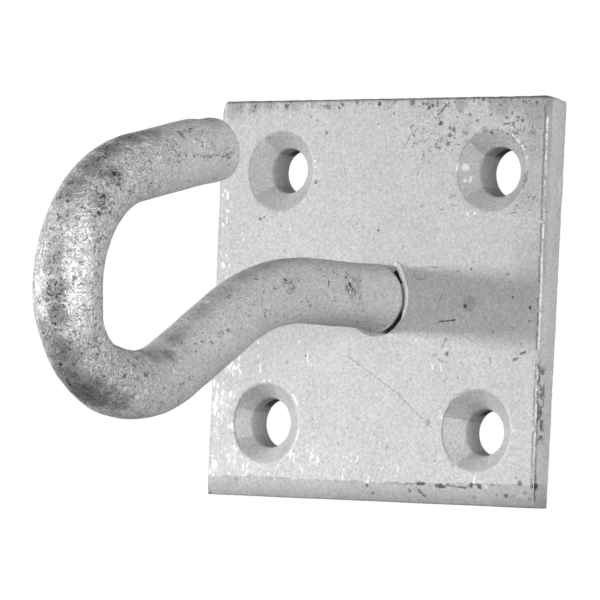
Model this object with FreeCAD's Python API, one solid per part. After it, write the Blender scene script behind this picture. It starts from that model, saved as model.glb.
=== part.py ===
import FreeCAD, Part
import os
from math import cos, degrees, pi, radians, sin, tan

# Hook on plate, hot-dip galvanised. The origin is the centre of the plate's back face, on the wall.
# +Z is up, +X is to the right seen from the front, +Y points into the wall and the hook reaches along -Y.

# Plate, sheared from flat strip
plate_width = 50.0
plate_height = 50.0
plate_thickness = 5.0
sharp_corner_radius = 0.3
worn_corner_radius = 0.7      # the upper left corner
roll_width = 2.5              # band that the shear pulled down, across the face
roll_crown = 0.14             # how far the band bulges, as a share of its depth
lower_roll_left = 0.1         # depth of the front band at the left end of the lower edge
lower_roll_right = 0.75
right_roll_top = 0.87         # depth of the back band at the upper end of the right edge
right_roll_bottom = 1.89
hidden_roll = 1.1             # depth of the back bands on the upper and left edges

# Screw holes, countersunk from the front
hole_spacing_x = 32.0
hole_spacing_z = 32.0
hole_shift_x = 0.4            # the drilled pattern sits a little to the right
hole_dia = 5.8
sink_dia = 10.2
sink_angle = 90.0

# Bar: 8 mm round with its coat of zinc
bar_dia = 8.14
bar_height = 0.3              # the bar's centreline above the plate's centre

# The hook as it is bent: straight runs, radii to the centreline, and angles, where + turns upwards
shank_run = 13.8
drop_radius = 28.9
drop_angle = -31.3
slope_run = 12.1
heel_radius = 15.4
heel_angle = 51.8
toe_radius = 9.5
toe_angle = 53.3
crown_radius = 14.3
crown_angle = 92.3
tip_run = 15.7
tip_edge_radius = 0.45
rounding_steps = 3            # flats that make up the worn edge

# The shear nipped the bar's end a little smaller and pressed its top down
nip_run = 5.5                 # where this starts, before the end
nip_length = 4.7              # run over which it comes on
nip_dia = 7.8
nip_sag = 0.33                # how far the end's centre is pressed down

# The bar necks down where it is bent tightest
neck_dia = 7.5
neck_blend = 5.0              # run over which it gets back to its full size
station_angle = 9.0           # turn between two sections of the necked stretch

# Upset collar at the bar's foot, where it was pressed hot against the plate
collar_dia = 9.04
collar_run = 3.6
collar_drop = 0.35            # the collar hangs this far below the bar's centreline
collar_shift = 0.15           # and sits this far to the right of it
collar_lip = 0.25             # height of its undercut rear edge above the plate
foot_dia = 8.4                # what is joined to the plate, inside the undercut

# Flash squeezed out of the joint, a crescent lip on the right side only
flash_height = 0.35
flash_gap = 0.08              # clearance between the lip's crest and the collar
flash_width = 0.75            # thickness of the lip at its crest, where it is widest
flash_flank = 0.15            # how far the outer wall spreads towards the plate
flash_offset = 1.95           # centre of the lip's outer wall, away from the collar's
flash_angle = 12.0            # direction in which it is widest, above the horizontal


def vec(x, y, z):
    return FreeCAD.Vector(x, y, z)


def front_point(reach, height, across=0.0):
    """Point at this reach in front of the plate."""
    return vec(across, -plate_thickness - reach, height)


# Plate

def plate_blank():
    blank = Part.makeBox(
        plate_width, plate_thickness, plate_height,
        vec(-plate_width / 2, -plate_thickness, -plate_height / 2))
    for x_side, z_side in ((-1, 1), (1, 1), (1, -1), (-1, -1)):
        radius = worn_corner_radius if (x_side, z_side) == (-1, 1) else sharp_corner_radius
        corner = vec(x_side * plate_width / 2, -plate_thickness / 2, z_side * plate_height / 2)
        edge = min(blank.Edges, key=lambda e: e.CenterOfMass.distanceToPoint(corner))
        blank = blank.makeFillet(radius, [edge])
    return blank


def roll_section(inward, face, depth_way, depth):
    """Outline of the metal pulled down to this depth at one end of an edge.

    inward points from the edge across the plate's face, face is the point of the square edge and
    depth_way points from the face into the metal.
    """
    margin = roll_width / 2
    start = face + inward * roll_width
    end = face + depth_way * depth
    middle = (start + end) * 0.5
    across = (start - end).normalize()
    bulge = depth_way * -1 + across * across.dot(depth_way)
    crown = middle + bulge.normalize() * roll_crown * depth
    outer_low = end - inward * margin
    outer_high = face - inward * margin - depth_way * margin
    inner_high = start - depth_way * margin
    edges = [
        Part.Arc(start, crown, end).toShape(),
        Part.makeLine(end, outer_low),
        Part.makeLine(outer_low, outer_high),
        Part.makeLine(outer_high, inner_high),
        Part.makeLine(inner_high, start),
    ]
    return Part.Wire(edges)


def rolled_edges():
    """Cutters for the four sheared edges: the lower one at the front, the others at the back."""
    half_w = plate_width / 2
    half_h = plate_height / 2
    front = -plate_thickness
    into = vec(0, 1, 0)
    out = vec(0, -1, 0)
    right = vec(1, 0, 0)
    left = vec(-1, 0, 0)
    up = vec(0, 0, 1)
    down = vec(0, 0, -1)
    sides = [
        (up, into, vec(-half_w, front, -half_h), vec(half_w, front, -half_h), lower_roll_left, lower_roll_right),
        (left, out, vec(half_w, 0, -half_h), vec(half_w, 0, half_h), right_roll_bottom, right_roll_top),
        (down, out, vec(-half_w, 0, half_h), vec(half_w, 0, half_h), hidden_roll, hidden_roll),
        (right, out, vec(-half_w, 0, -half_h), vec(-half_w, 0, half_h), hidden_roll, hidden_roll),
    ]
    cutters = []
    for inward, way, near_end, far_end, near_depth, far_depth in sides:
        overrun = (far_end - near_end).normalize() * roll_width * 0.02
        cutters.append(Part.makeLoft([
            roll_section(inward, near_end - overrun, way, near_depth),
            roll_section(inward, far_end + overrun, way, far_depth)], True, True))
    return cutters


def screw_hole(x, z):
    """Through hole and its countersink, which opens at the front face."""
    sink_depth = (sink_dia - hole_dia) / 2 / tan(radians(sink_angle / 2))
    margin = plate_thickness / 5
    mouth_growth = margin * tan(radians(sink_angle / 2))
    drill = Part.makeCylinder(
        hole_dia / 2, plate_thickness + 2 * margin, front_point(margin, z, x), vec(0, 1, 0))
    sink = Part.makeCone(
        sink_dia / 2 + mouth_growth, hole_dia / 2, sink_depth + margin,
        front_point(margin, z, x), vec(0, 1, 0))
    return drill.fuse(sink)


def hole_centres():
    return [
        (hole_shift_x + side * hole_spacing_x / 2, level * hole_spacing_z / 2)
        for level in (1, -1) for side in (-1, 1)]


def back_plate():
    plate = plate_blank()
    for cutter in rolled_edges():
        plate = plate.cut(cutter)
    for x, z in hole_centres():
        plate = plate.cut(screw_hole(x, z))
    return plate.removeSplitter()


# Hook

def bend_centre(point, heading, radius, turn):
    """Centre of a bend in the hook's plane, given as (reach, height)."""
    side = 1 if turn > 0 else -1
    return (point[0] - side * radius * sin(heading), point[1] + side * radius * cos(heading))


def along_bend(point, heading, radius, turn):
    """Point and heading after a bend."""
    side = 1 if turn > 0 else -1
    centre = bend_centre(point, heading, radius, turn)
    heading = heading + radians(turn)
    return (centre[0] + side * radius * sin(heading), centre[1] - side * radius * cos(heading)), heading


def along_run(point, heading, run):
    return (point[0] + run * cos(heading), point[1] + run * sin(heading))


def round_section(point, heading, radius):
    """Circle across the bar, started on its right side so that sections never twist."""
    circle = Part.Circle(front_point(*point), vec(0, -cos(heading), sin(heading)), radius)
    circle.XAxis = vec(1, 0, 0)
    return Part.Wire([circle.toShape()])


def straight_piece(point, heading, run):
    way = vec(0, -cos(heading), sin(heading))
    return Part.makeCylinder(bar_dia / 2, run, front_point(*point), way)


def bent_piece(point, heading, radius, turn):
    """Bend of full section, turned about its own centre."""
    centre = bend_centre(point, heading, radius, turn)
    section = Part.Face(round_section(point, heading, bar_dia / 2))
    return section.revolve(front_point(*centre), vec(-1, 0, 0), turn)


def necked_radius(distance):
    """Radius of the bar at this distance along it from the middle of the toe bend."""
    toe_half = toe_radius * radians(toe_angle) / 2
    recovered = (abs(distance) - toe_half) / neck_blend + 0.5
    recovered = min(max(recovered, 0.0), 1.0)
    share = (1 - cos(pi * recovered)) / 2
    return (neck_dia + (bar_dia - neck_dia) * share) / 2


def blend_angle(radius):
    """Part of a bend next to the toe over which the bar gets back to its full size."""
    return degrees(neck_blend / 2 / radius)


def necked_bend(point, heading):
    """End of the heel, the toe and start of the crown, as one smooth loft that necks down."""
    bends = (
        (heel_radius, blend_angle(heel_radius)), (toe_radius, toe_angle),
        (crown_radius, blend_angle(crown_radius)))
    distance = -neck_blend / 2 - toe_radius * radians(toe_angle) / 2
    sections = [round_section(point, heading, necked_radius(distance))]
    for radius, angle in bends:
        steps = max(2, round(angle / station_angle))
        for step in range(steps):
            point, heading = along_bend(point, heading, radius, angle / steps)
            distance += radius * radians(angle / steps)
            sections.append(round_section(point, heading, necked_radius(distance)))
    return Part.makeLoft(sections, True, False), point, heading


def collar():
    """Upset foot of the bar, drawn out from its full section and undercut at the plate."""
    stations = (
        (collar_run, 0.0), (collar_run * 0.72, 0.12), (collar_run * 0.4, 0.6),
        (collar_run * 0.2, 0.93), (collar_lip, 1.0))
    sections = []
    for reach, share in stations:
        radius = (bar_dia + (collar_dia - bar_dia) * share) / 2
        centre = (reach, bar_height - collar_drop * share, collar_shift * share)
        sections.append(round_section(centre, 0.0, radius))
    swelling = Part.makeLoft(sections, True, False)
    undercut = Part.makeCone(
        foot_dia / 2, collar_dia / 2, collar_lip,
        front_point(0, bar_height - collar_drop, collar_shift), vec(0, -1, 0))
    return swelling.fuse(undercut)


def nipped_tip(point, heading):
    """Last straight run, nipped smaller towards its sheared end, which is worn round."""
    start = along_run(point, heading, tip_run - nip_run)
    stations = [
        (nip_length * along, nip_sag * share, (bar_dia + (nip_dia - bar_dia) * share) / 2)
        for along, share in ((0.0, 0.0), (0.3, 0.2), (0.7, 0.8), (1.0, 1.0))]
    for step in range(rounding_steps + 1):
        turn = pi / 2 * step / rounding_steps
        stations.append((
            nip_run - tip_edge_radius * (1 - sin(turn)), nip_sag,
            nip_dia / 2 - tip_edge_radius * (1 - cos(turn))))
    sections = []
    for run, sag, radius in stations:
        reach, height = along_run(start, heading, run)
        sections.append(round_section(
            (reach - sag * sin(heading), height + sag * cos(heading)), heading, radius))
    return [straight_piece(point, heading, tip_run - nip_run), Part.makeLoft(sections, True, True)]


def hook_bar():
    point = (collar_run, bar_height)
    heading = 0.0
    pieces = [collar(), straight_piece(point, heading, shank_run - collar_run)]
    point = along_run(point, heading, shank_run - collar_run)
    pieces.append(bent_piece(point, heading, drop_radius, drop_angle))
    point, heading = along_bend(point, heading, drop_radius, drop_angle)
    pieces.append(straight_piece(point, heading, slope_run))
    point = along_run(point, heading, slope_run)
    full_heel = heel_angle - blend_angle(heel_radius)
    pieces.append(bent_piece(point, heading, heel_radius, full_heel))
    point, heading = along_bend(point, heading, heel_radius, full_heel)
    neck, point, heading = necked_bend(point, heading)
    pieces.append(neck)
    full_crown = crown_angle - blend_angle(crown_radius)
    pieces.append(bent_piece(point, heading, crown_radius, full_crown))
    point, heading = along_bend(point, heading, crown_radius, full_crown)
    pieces.extend(nipped_tip(point, heading))
    return pieces[0].multiFuse(pieces[1:]).removeSplitter()


# Flash

def flash_circle(reach, offset, radius):
    """Circle round the joint, moved from the collar's centre towards the side where the lip is."""
    way = radians(flash_angle)
    centre = front_point(
        reach, bar_height - collar_drop + offset * sin(way), collar_shift + offset * cos(way))
    circle = Part.Circle(centre, vec(0, -1, 0), radius)
    circle.XAxis = vec(1, 0, 0)
    return Part.Wire([circle.toShape()])


def weld_flash():
    """Lip of metal beside the bar's foot, with a sharp crack between it and the collar."""
    inner_radius = collar_dia / 2 + flash_gap
    outer_radius = inner_radius + flash_width - flash_offset
    hill = Part.makeLoft(
        [flash_circle(0, flash_offset, outer_radius + flash_flank),
         flash_circle(flash_height, flash_offset, outer_radius)],
        True, True)
    low = bar_height - collar_drop
    well = Part.makeCone(
        foot_dia / 2, inner_radius, collar_lip, front_point(0, low, collar_shift), vec(0, -1, 0))
    mouth = Part.makeCylinder(
        inner_radius, flash_height, front_point(collar_lip, low, collar_shift), vec(0, -1, 0))
    return hill.cut(well.fuse(mouth))


def main():
    os.makedirs("parts", exist_ok=True)
    nodes = {"back_plate": back_plate(), "hook_bar": hook_bar(), "weld_flash": weld_flash()}
    for name, shape in nodes.items():
        shape.exportStep("parts/" + name + ".step")
        box = shape.BoundBox
        print(name, shape.isValid(), len(shape.Solids), round(shape.Volume, 2),
              [round(v, 2) for v in (box.XMin, box.YMin, box.ZMin, box.XMax, box.YMax, box.ZMax)])


main()
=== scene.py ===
from math import cos, pi, radians, sin

import bpy
from mathutils import Matrix, Vector


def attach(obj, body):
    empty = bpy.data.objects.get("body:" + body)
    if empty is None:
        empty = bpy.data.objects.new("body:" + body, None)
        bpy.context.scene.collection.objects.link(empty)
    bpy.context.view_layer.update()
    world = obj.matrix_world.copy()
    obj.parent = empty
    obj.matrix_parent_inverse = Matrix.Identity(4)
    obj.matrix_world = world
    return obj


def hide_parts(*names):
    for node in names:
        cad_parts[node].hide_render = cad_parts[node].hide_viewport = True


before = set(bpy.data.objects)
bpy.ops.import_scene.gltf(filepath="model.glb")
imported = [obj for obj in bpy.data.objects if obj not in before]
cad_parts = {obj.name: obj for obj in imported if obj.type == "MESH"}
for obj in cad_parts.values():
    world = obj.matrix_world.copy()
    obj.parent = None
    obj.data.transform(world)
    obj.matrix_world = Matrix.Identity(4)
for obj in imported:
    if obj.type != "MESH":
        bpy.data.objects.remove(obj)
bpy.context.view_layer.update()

# Back plate
# A 50 mm square of 5 mm strip, sheared to size and hot-dip galvanised. The shear rolled the front down along the
# lower edge and the back down along the other three. Four holes, drilled and countersunk by hand, stray a little.

mm = 0.001
plate_side = 50 * mm
plate_thickness = 5 * mm
half = plate_side / 2
front = -plate_thickness
grid_cell = 1.2 * mm
cells_over_sink = 8
cells_at_edge = 2
grid_columns = (-15.68 * mm, 16.575 * mm)
grid_rows = (-15.785 * mm, 15.95 * mm)
grid_depths = (-3.3 * mm, -2.5 * mm, -1.7 * mm)
sink_radius = 5.1 * mm
back_ring_radius = 4.6 * mm
# Each hole: its countersink's centre and its bore's, across and up, then the bore's radius and its run to the back
holes = (
    ((-15.26, 16.00), (-15.05, 16.15), 2.74, 3.36), ((17.00, 15.90), (17.31, 15.81), 2.98, 3.56),
    ((-16.10, -15.73), (-16.64, -15.64), 3.05, 3.09), ((16.15, -15.84), (16.07, -16.00), 2.78, 2.83))


def start_piece(add_primitive, name, **settings):
    """Adds a primitive with nothing else selected and puts its place and turn into its mesh."""
    bpy.ops.object.select_all(action="DESELECT")
    add_primitive(**settings)
    piece = bpy.context.active_object
    piece.name = piece.data.name = name
    bpy.ops.object.transform_apply(location=True, rotation=True, scale=True)
    return piece


def select_where(piece, kind, test):
    """Selects the vertices, edges or faces (VERT, EDGE, FACE) whose place passes the test, and nothing else."""
    bpy.ops.mesh.select_mode(type=kind)
    bpy.ops.mesh.select_all(action="DESELECT")
    bpy.ops.object.mode_set(mode="OBJECT")
    mesh = piece.data
    if kind == "VERT":
        for vertex in mesh.vertices:
            vertex.select = test(vertex.co)
    elif kind == "EDGE":
        for edge in mesh.edges:
            edge.select = all(test(mesh.vertices[v].co) for v in edge.vertices)
    else:
        for face in mesh.polygons:
            face.select = test(face.center)
    bpy.ops.object.mode_set(mode="EDIT")


def near(value, target, reach=0.01 * mm):
    return abs(value - target) < reach


def grid_lines(hole_places):
    """Places of the mesh lines across the plate: even cells, with a whole number of them over each countersink."""
    half_hole = grid_cell * cells_over_sink / 2
    stops = [-half, -half + cells_at_edge * grid_cell]
    for place in hole_places:
        stops += [place - half_hole, place + half_hole]
    stops += [half - cells_at_edge * grid_cell, half]
    lines = []
    for low, high in zip(stops, stops[1:]):
        cells = max(1, round((high - low) / grid_cell))
        lines += [low + (high - low) * i / cells for i in range(cells)]
    return lines[1:]


def cut_grid(axis, places):
    normal = [0, 0, 0]
    normal[axis] = 1
    for place in places:
        bpy.ops.mesh.select_all(action="SELECT")
        bpy.ops.mesh.bisect(plane_co=[place * n for n in normal], plane_no=normal)


def crease(piece, test, value):
    select_where(piece, "EDGE", test)
    bpy.ops.transform.edge_crease(value=value)


plate = start_piece(
    bpy.ops.mesh.primitive_cube_add, "plate", size=1, location=(0, front / 2, 0),
    scale=(plate_side, plate_thickness, plate_side))
bpy.ops.object.mode_set(mode="EDIT")
cut_grid(0, grid_lines(grid_columns))
cut_grid(2, grid_lines(grid_rows))
cut_grid(1, grid_depths)


def round_loop(piece, centre, radius):
    """Turns the selected square loop of edges into a circle."""
    bpy.ops.transform.tosphere(value=1)
    bpy.ops.object.mode_set(mode="OBJECT")
    loop = [v.co for v in piece.data.vertices if v.select]
    reached = sum((co - centre).length for co in loop) / len(loop)
    bpy.ops.object.mode_set(mode="EDIT")
    bpy.ops.transform.resize(value=(radius / reached,) * 3, center_override=centre)


def draw_ring(centre, push, factor):
    """Extrudes the selected ring by push, and makes it larger or smaller about its centre."""
    bpy.ops.mesh.extrude_region_move(TRANSFORM_OT_translate={"value": push})
    centre = Vector(centre) + Vector(push)
    bpy.ops.transform.resize(value=(factor, factor, factor), center_override=centre)
    return centre


def from_axis(co, centre):
    return Vector((co.x - centre.x, co.z - centre.z)).length


# Each hole is opened in the grid, its rim made round, and its countersink and bore drawn through to the back
grid_half = grid_cell * cells_over_sink / 2
bore_steps = 3
rims = []
for sink_place, bore_place, bore_radius, bore_run in holes:
    bore_radius, bore_run = bore_radius * mm, bore_run * mm
    sink_depth = plate_thickness - bore_run
    sink_centre = Vector((sink_place[0] * mm, front, sink_place[1] * mm))
    back_centre = Vector((bore_place[0] * mm, 0, bore_place[1] * mm))
    column, row = grid_columns[sink_centre.x > 0], grid_rows[sink_centre.z > 0]
    for centre, radius in ((sink_centre, sink_radius), (back_centre, back_ring_radius)):
        def over_hole(co, reach=grid_half):
            return near(co.y, centre.y) and max(abs(co.x - column), abs(co.z - row)) < reach
        select_where(plate, "FACE", over_hole)
        bpy.ops.mesh.delete(type="FACE")
        select_where(plate, "VERT", lambda co: over_hole(co, grid_half + 0.01 * mm))
        in_grid = Vector((column, centre.y, row))
        round_loop(plate, in_grid, radius)
        bpy.ops.transform.translate(value=centre - in_grid)
    select_where(plate, "EDGE", lambda co: near(co.y, front) and near(from_axis(co, sink_centre), sink_radius))
    stray = Vector((back_centre.x - sink_centre.x, sink_depth, back_centre.z - sink_centre.z))
    middle_radius = (sink_radius + bore_radius) / 2
    centre = draw_ring(sink_centre, stray / 2, middle_radius / sink_radius)
    centre = draw_ring(centre, stray / 2, bore_radius / middle_radius)
    for step in range(bore_steps):
        centre = draw_ring(centre, (0, bore_run / bore_steps, 0), 1)
    middle_radius = (bore_radius + back_ring_radius) / 2
    centre = draw_ring(centre, (0, 0, 0), middle_radius / bore_radius)
    draw_ring(centre, (0, 0, 0), back_ring_radius / middle_radius)
    rims += [
        (sink_centre, sink_radius, front), (back_centre, bore_radius, front + sink_depth),
        (back_centre, bore_radius, 0)]
bpy.ops.mesh.select_all(action="SELECT")
bpy.ops.mesh.remove_doubles(threshold=0.01 * mm)
bpy.ops.mesh.normals_make_consistent(inside=False)


# The edges are creased, though not in full, because the zinc leaves them a little soft
def on_outline(co):
    return (near(abs(co.x), half) or near(abs(co.z), half)) and (near(co.y, front) or near(co.y, 0))


def on_corner(co):
    return near(abs(co.x), half) and near(abs(co.z), half)


def on_rim(co):
    return any(near(co.y, level) and near(from_axis(co, centre), radius) for centre, radius, level in rims)


crease(plate, on_outline, 0.85)
crease(plate, on_corner, 0.8)
crease(plate, on_rim, 0.9)
bpy.ops.object.mode_set(mode="OBJECT")


def apply_modifier(piece, kind, **settings):
    modifier = piece.modifiers.new(kind.title(), kind)
    for name, value in settings.items():
        setattr(modifier, name, value)
    bpy.context.view_layer.objects.active = piece
    bpy.ops.object.modifier_apply(modifier=modifier.name)


def clouds(name, size, depth=2):
    texture = bpy.data.textures.new(name, "CLOUDS")
    texture.noise_scale = size
    texture.noise_depth = depth
    return texture


def weigh(piece, group_name, weight):
    """Adds a vertex group whose weight at each point is given by a function of its place."""
    group = piece.vertex_groups.new(name=group_name)
    for vertex in piece.data.vertices:
        share = weight(vertex.co)
        if share > 0:
            group.add([vertex.index], min(share, 1.0), "REPLACE")


apply_modifier(plate, "SUBSURF", levels=2, render_levels=2)

# The rolled bands fall away in a shallow curve, by up to these depths at the plate's edge
lower_roll = (0.1 * mm, 0.75 * mm)
right_roll = (1.89 * mm, 0.87 * mm)
hidden_roll = 1.1 * mm
roll_width = 2.5 * mm
roll_crown = 0.56
deepest_roll = 2 * mm


def rolled(away, width=roll_width):
    """Share of a band's depth at this distance from the plate's edge."""
    share = min(max(away / width, 0), 1)
    return (1 - share) * (1 - roll_crown * share)


def front_roll(co):
    depth = lower_roll[0] + (lower_roll[1] - lower_roll[0]) * (co.x + half) / plate_side
    width = roll_width + 0.4 * mm * max(co.x, 0) / half
    return depth * rolled(co.z + half, width) * (co.y / front) / deepest_roll


def back_roll(co):
    right = right_roll[0] + (right_roll[1] - right_roll[0]) * (co.z + half) / plate_side
    depth = max(right * rolled(half - co.x), hidden_roll * rolled(half - co.z), hidden_roll * rolled(half + co.x))
    return depth * (1 - co.y / front) / deepest_roll


corner_reach, corner_height, corner_drop = 0.9 * mm, 4 * mm, 1.7 * mm


def corner_wear(co):
    """The upper left corner is worn to a quarter of an ellipse."""
    share = 1 - (co.x + half) / corner_reach
    if share <= 0 or co.z < 0:
        return 0
    return (1 - (1 - min(share, 1) ** 2) ** 0.5) * min(max((co.z - half + corner_height) / corner_height, 0), 1)


slant_x, slant_z, slant_drop = 12 * mm, 20 * mm, 0.42 * mm


def back_slant(co):
    """The end was sheared a little out of square, so the back of the upper right corner is lower than the front."""
    across, up = (co.x - slant_x) / (half - slant_x), (co.z - slant_z) / (half - slant_z)
    return (1 - co.y / front) * max(0, across) * max(0, up)


line_reach = 1.2 * mm


def line_share(co):
    """1 on the line where the lower band meets the front face, falling to 0 either side of it and to the left."""
    if co.y > front + line_reach:
        return 0
    return (1 - abs(co.z + half - roll_width) / line_reach) * (0.3 + 0.7 * (co.x + half) / plate_side)


arris_width, arris_depth, arris_fade = 0.6 * mm, 1.2 * mm, 0.9 * mm


def arris_share(co):
    """1 on the outer arrises, falling to 0 over the face and down the sides."""
    to_side = half - max(abs(co.x), abs(co.z))
    to_face = min(abs(co.y - front), abs(co.y))
    return 1 - max(to_side, 0) / arris_width - max(to_face - arris_depth, 0) / arris_fade


weigh(plate, "front_roll", front_roll)
weigh(plate, "back_roll", back_roll)
weigh(plate, "corner_wear", corner_wear)
weigh(plate, "back_slant", back_slant)
weigh(plate, "roll_line", line_share)
weigh(plate, "arris", arris_share)
for group, strength, direction in (
        ("front_roll", deepest_roll, "Y"), ("back_roll", -deepest_roll, "Y"), ("corner_wear", -corner_drop, "Z"),
        ("back_slant", -slant_drop, "Z")):
    apply_modifier(plate, "DISPLACE", strength=strength, mid_level=0.0, direction=direction, vertex_group=group)
apply_modifier(
    plate, "DISPLACE", texture=clouds("roll_line_wander", 2.6 * mm), strength=0.7 * mm, mid_level=0.5, direction="Z",
    vertex_group="roll_line")
apply_modifier(
    plate, "DISPLACE", texture=clouds("arris_wear", 1.2 * mm, 3), strength=0.16 * mm, mid_level=0.8,
    vertex_group="arris")
apply_modifier(
    plate, "DISPLACE", texture=clouds("zinc_swell", 7 * mm), strength=0.08 * mm, mid_level=0.9)
apply_modifier(
    plate, "DISPLACE", texture=clouds("zinc_grain", 1.1 * mm, 3), strength=0.04 * mm, mid_level=0.9)
plate.data.shade_smooth()


class Value:
    """A number that varies over a surface. Python's operators on it add Math nodes to its finish."""

    def __init__(self, finish, socket):
        self.finish = finish
        self.socket = socket

    def math(self, operation, *others):
        return self.finish.node("ShaderNodeMath", [self, *others], operation=operation)

    def __add__(self, other):
        return self.math("ADD", other)

    def __sub__(self, other):
        return self.math("SUBTRACT", other)

    def __rsub__(self, other):
        return self.finish.node("ShaderNodeMath", [other, self], operation="SUBTRACT")

    def __mul__(self, other):
        return self.math("MULTIPLY", other)

    def __neg__(self):
        return self.math("MULTIPLY", -1.0)

    __radd__ = __add__
    __rmul__ = __mul__

    def greater_of(self, other):
        return self.math("MAXIMUM", other)

    def lesser_of(self, other):
        return self.math("MINIMUM", other)

    def rise(self, low, high):
        """0 below low and 1 above high with a smooth step between, or the other way round if low is the higher."""
        start, end = min(low, high), max(low, high)
        return self.finish.node(
            "ShaderNodeMapRange",
            {"Value": self, "From Min": start, "From Max": end,
             "To Min": 0.0 if low < high else 1.0, "To Max": 1.0 if low < high else 0.0},
            interpolation_type="SMOOTHSTEP")

    def band(self, low, high, soft):
        """1 between low and high, falling to 0 over soft on both sides."""
        return self.rise(low - soft, low) * self.rise(high + soft, high)


class Finish:
    """A material on one Principled BSDF, with its place on the object in metres."""

    grazing_tint = (0.4, 0.4, 0.4, 1)
    patch_core = 0.3

    def __init__(self, name, metallic, roughness, specular=0.5):
        self.material = bpy.data.materials.new(name)
        self.material.use_nodes = True
        self.tree = self.material.node_tree
        self.shader = self.tree.nodes["Principled BSDF"]
        self.shader.inputs["Metallic"].default_value = metallic
        self.shader.inputs["Roughness"].default_value = roughness
        self.shader.inputs["Specular IOR Level"].default_value = specular
        self.shader.inputs["Specular Tint"].default_value = self.grazing_tint
        self.place = self.node("ShaderNodeTexCoord", output="Object")
        self.x, self.y, self.z = (
            self.node("ShaderNodeSeparateXYZ", [self.place], output=axis) for axis in ("X", "Y", "Z"))

    def node(self, kind, inputs=(), output=0, **settings):
        """Adds a node, sets it up, then fills its inputs, given by name or in order, with values or links."""
        made = self.tree.nodes.new(kind)
        for name, value in settings.items():
            setattr(made, name, value)
        pairs = inputs.items() if isinstance(inputs, dict) else enumerate(inputs)
        for key, value in pairs:
            if isinstance(value, Value):
                self.tree.links.new(value.socket, made.inputs[key])
            else:
                made.inputs[key].default_value = value
        return Value(self, made.outputs[output])

    def feed(self, name, value):
        self.tree.links.new(value.socket, self.shader.inputs[name])

    def vector(self, operation, *values, output="Vector"):
        return self.node("ShaderNodeVectorMath", values, output=output, operation=operation)

    def stretched(self, scale):
        return self.node("ShaderNodeMapping", {"Vector": self.place, "Scale": scale})

    def noise(self, size, detail=2.0, wander=0.0, place=None, output="Fac"):
        """Noise about 0.5 whose features are about this size."""
        return self.node(
            "ShaderNodeTexNoise",
            {"Vector": place or self.place, "Scale": 1 / size, "Detail": detail, "Distortion": wander}, output=output)

    def ragged(self, size, reach):
        """The place, moved about at random by up to half of reach, which gives marks ragged outlines."""
        push = self.vector("MULTIPLY_ADD", self.noise(size, 2, output="Color"), (reach,) * 3, self.place)
        return self.vector("SUBTRACT", push, (reach / 2,) * 3)

    def marks(self, place, marks, core=0.3):
        """1 on each mark, falling to 0 at its edge. A mark is its half-width, then one point or the points of a
        line, in millimetres, with x and z alone for a place that is flattened to the plate's front."""
        nearest = None
        for half_width, *points in marks:
            ends = [Vector((p[0], 0, p[1]) if len(p) == 2 else p) * mm for p in points]
            runs = list(zip(ends, ends[1:])) or [(ends[0], None)]
            for start, end in runs:
                point = start
                if end:
                    toward = (end - start) / (end - start).length_squared
                    run = self.vector("DOT_PRODUCT", place, toward, output="Value")
                    share = (run - start.dot(toward)).greater_of(0.0).lesser_of(1.0)
                    along = self.node(
                        "ShaderNodeVectorMath", {"Vector": end - start, "Scale": share}, output="Vector",
                        operation="SCALE")
                    point = self.vector("ADD", along, start)
                away = self.vector("DISTANCE", place, point, output="Value") * (1 / (half_width * mm))
                nearest = nearest.lesser_of(away) if nearest else away
        return nearest.rise(1.0, core)

    def patches(self, place, patches):
        """The strongest of several soft patches, each given as x, y, z, radius and strength."""
        strongest = None
        for x, y, z, radius, strength in patches:
            away = self.vector("DISTANCE", place, (x * mm, y * mm, z * mm), output="Value")
            one = away.rise(radius * mm, radius * mm * self.patch_core) * strength
            strongest = strongest.greater_of(one) if strongest else one
        return strongest

    def paint(self, tone):
        """A neutral grey of this tone."""
        self.feed("Base Color", self.node(
            "ShaderNodeMix", {"Factor": tone, 6: (0, 0, 0, 1), 7: (1.0, 1.0, 1.0, 1)}, output=2, data_type="RGBA"))

    def bump(self, height, distance):
        self.feed("Normal", self.node("ShaderNodeBump", {"Height": height, "Distance": distance}, output="Normal"))

    def put_on(self, piece):
        piece.data.materials.clear()
        piece.data.materials.append(self.material)


def spots(half_width, *places):
    """Marks of one half-width, each at a single place."""
    return tuple((half_width, place) for place in places)


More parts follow.
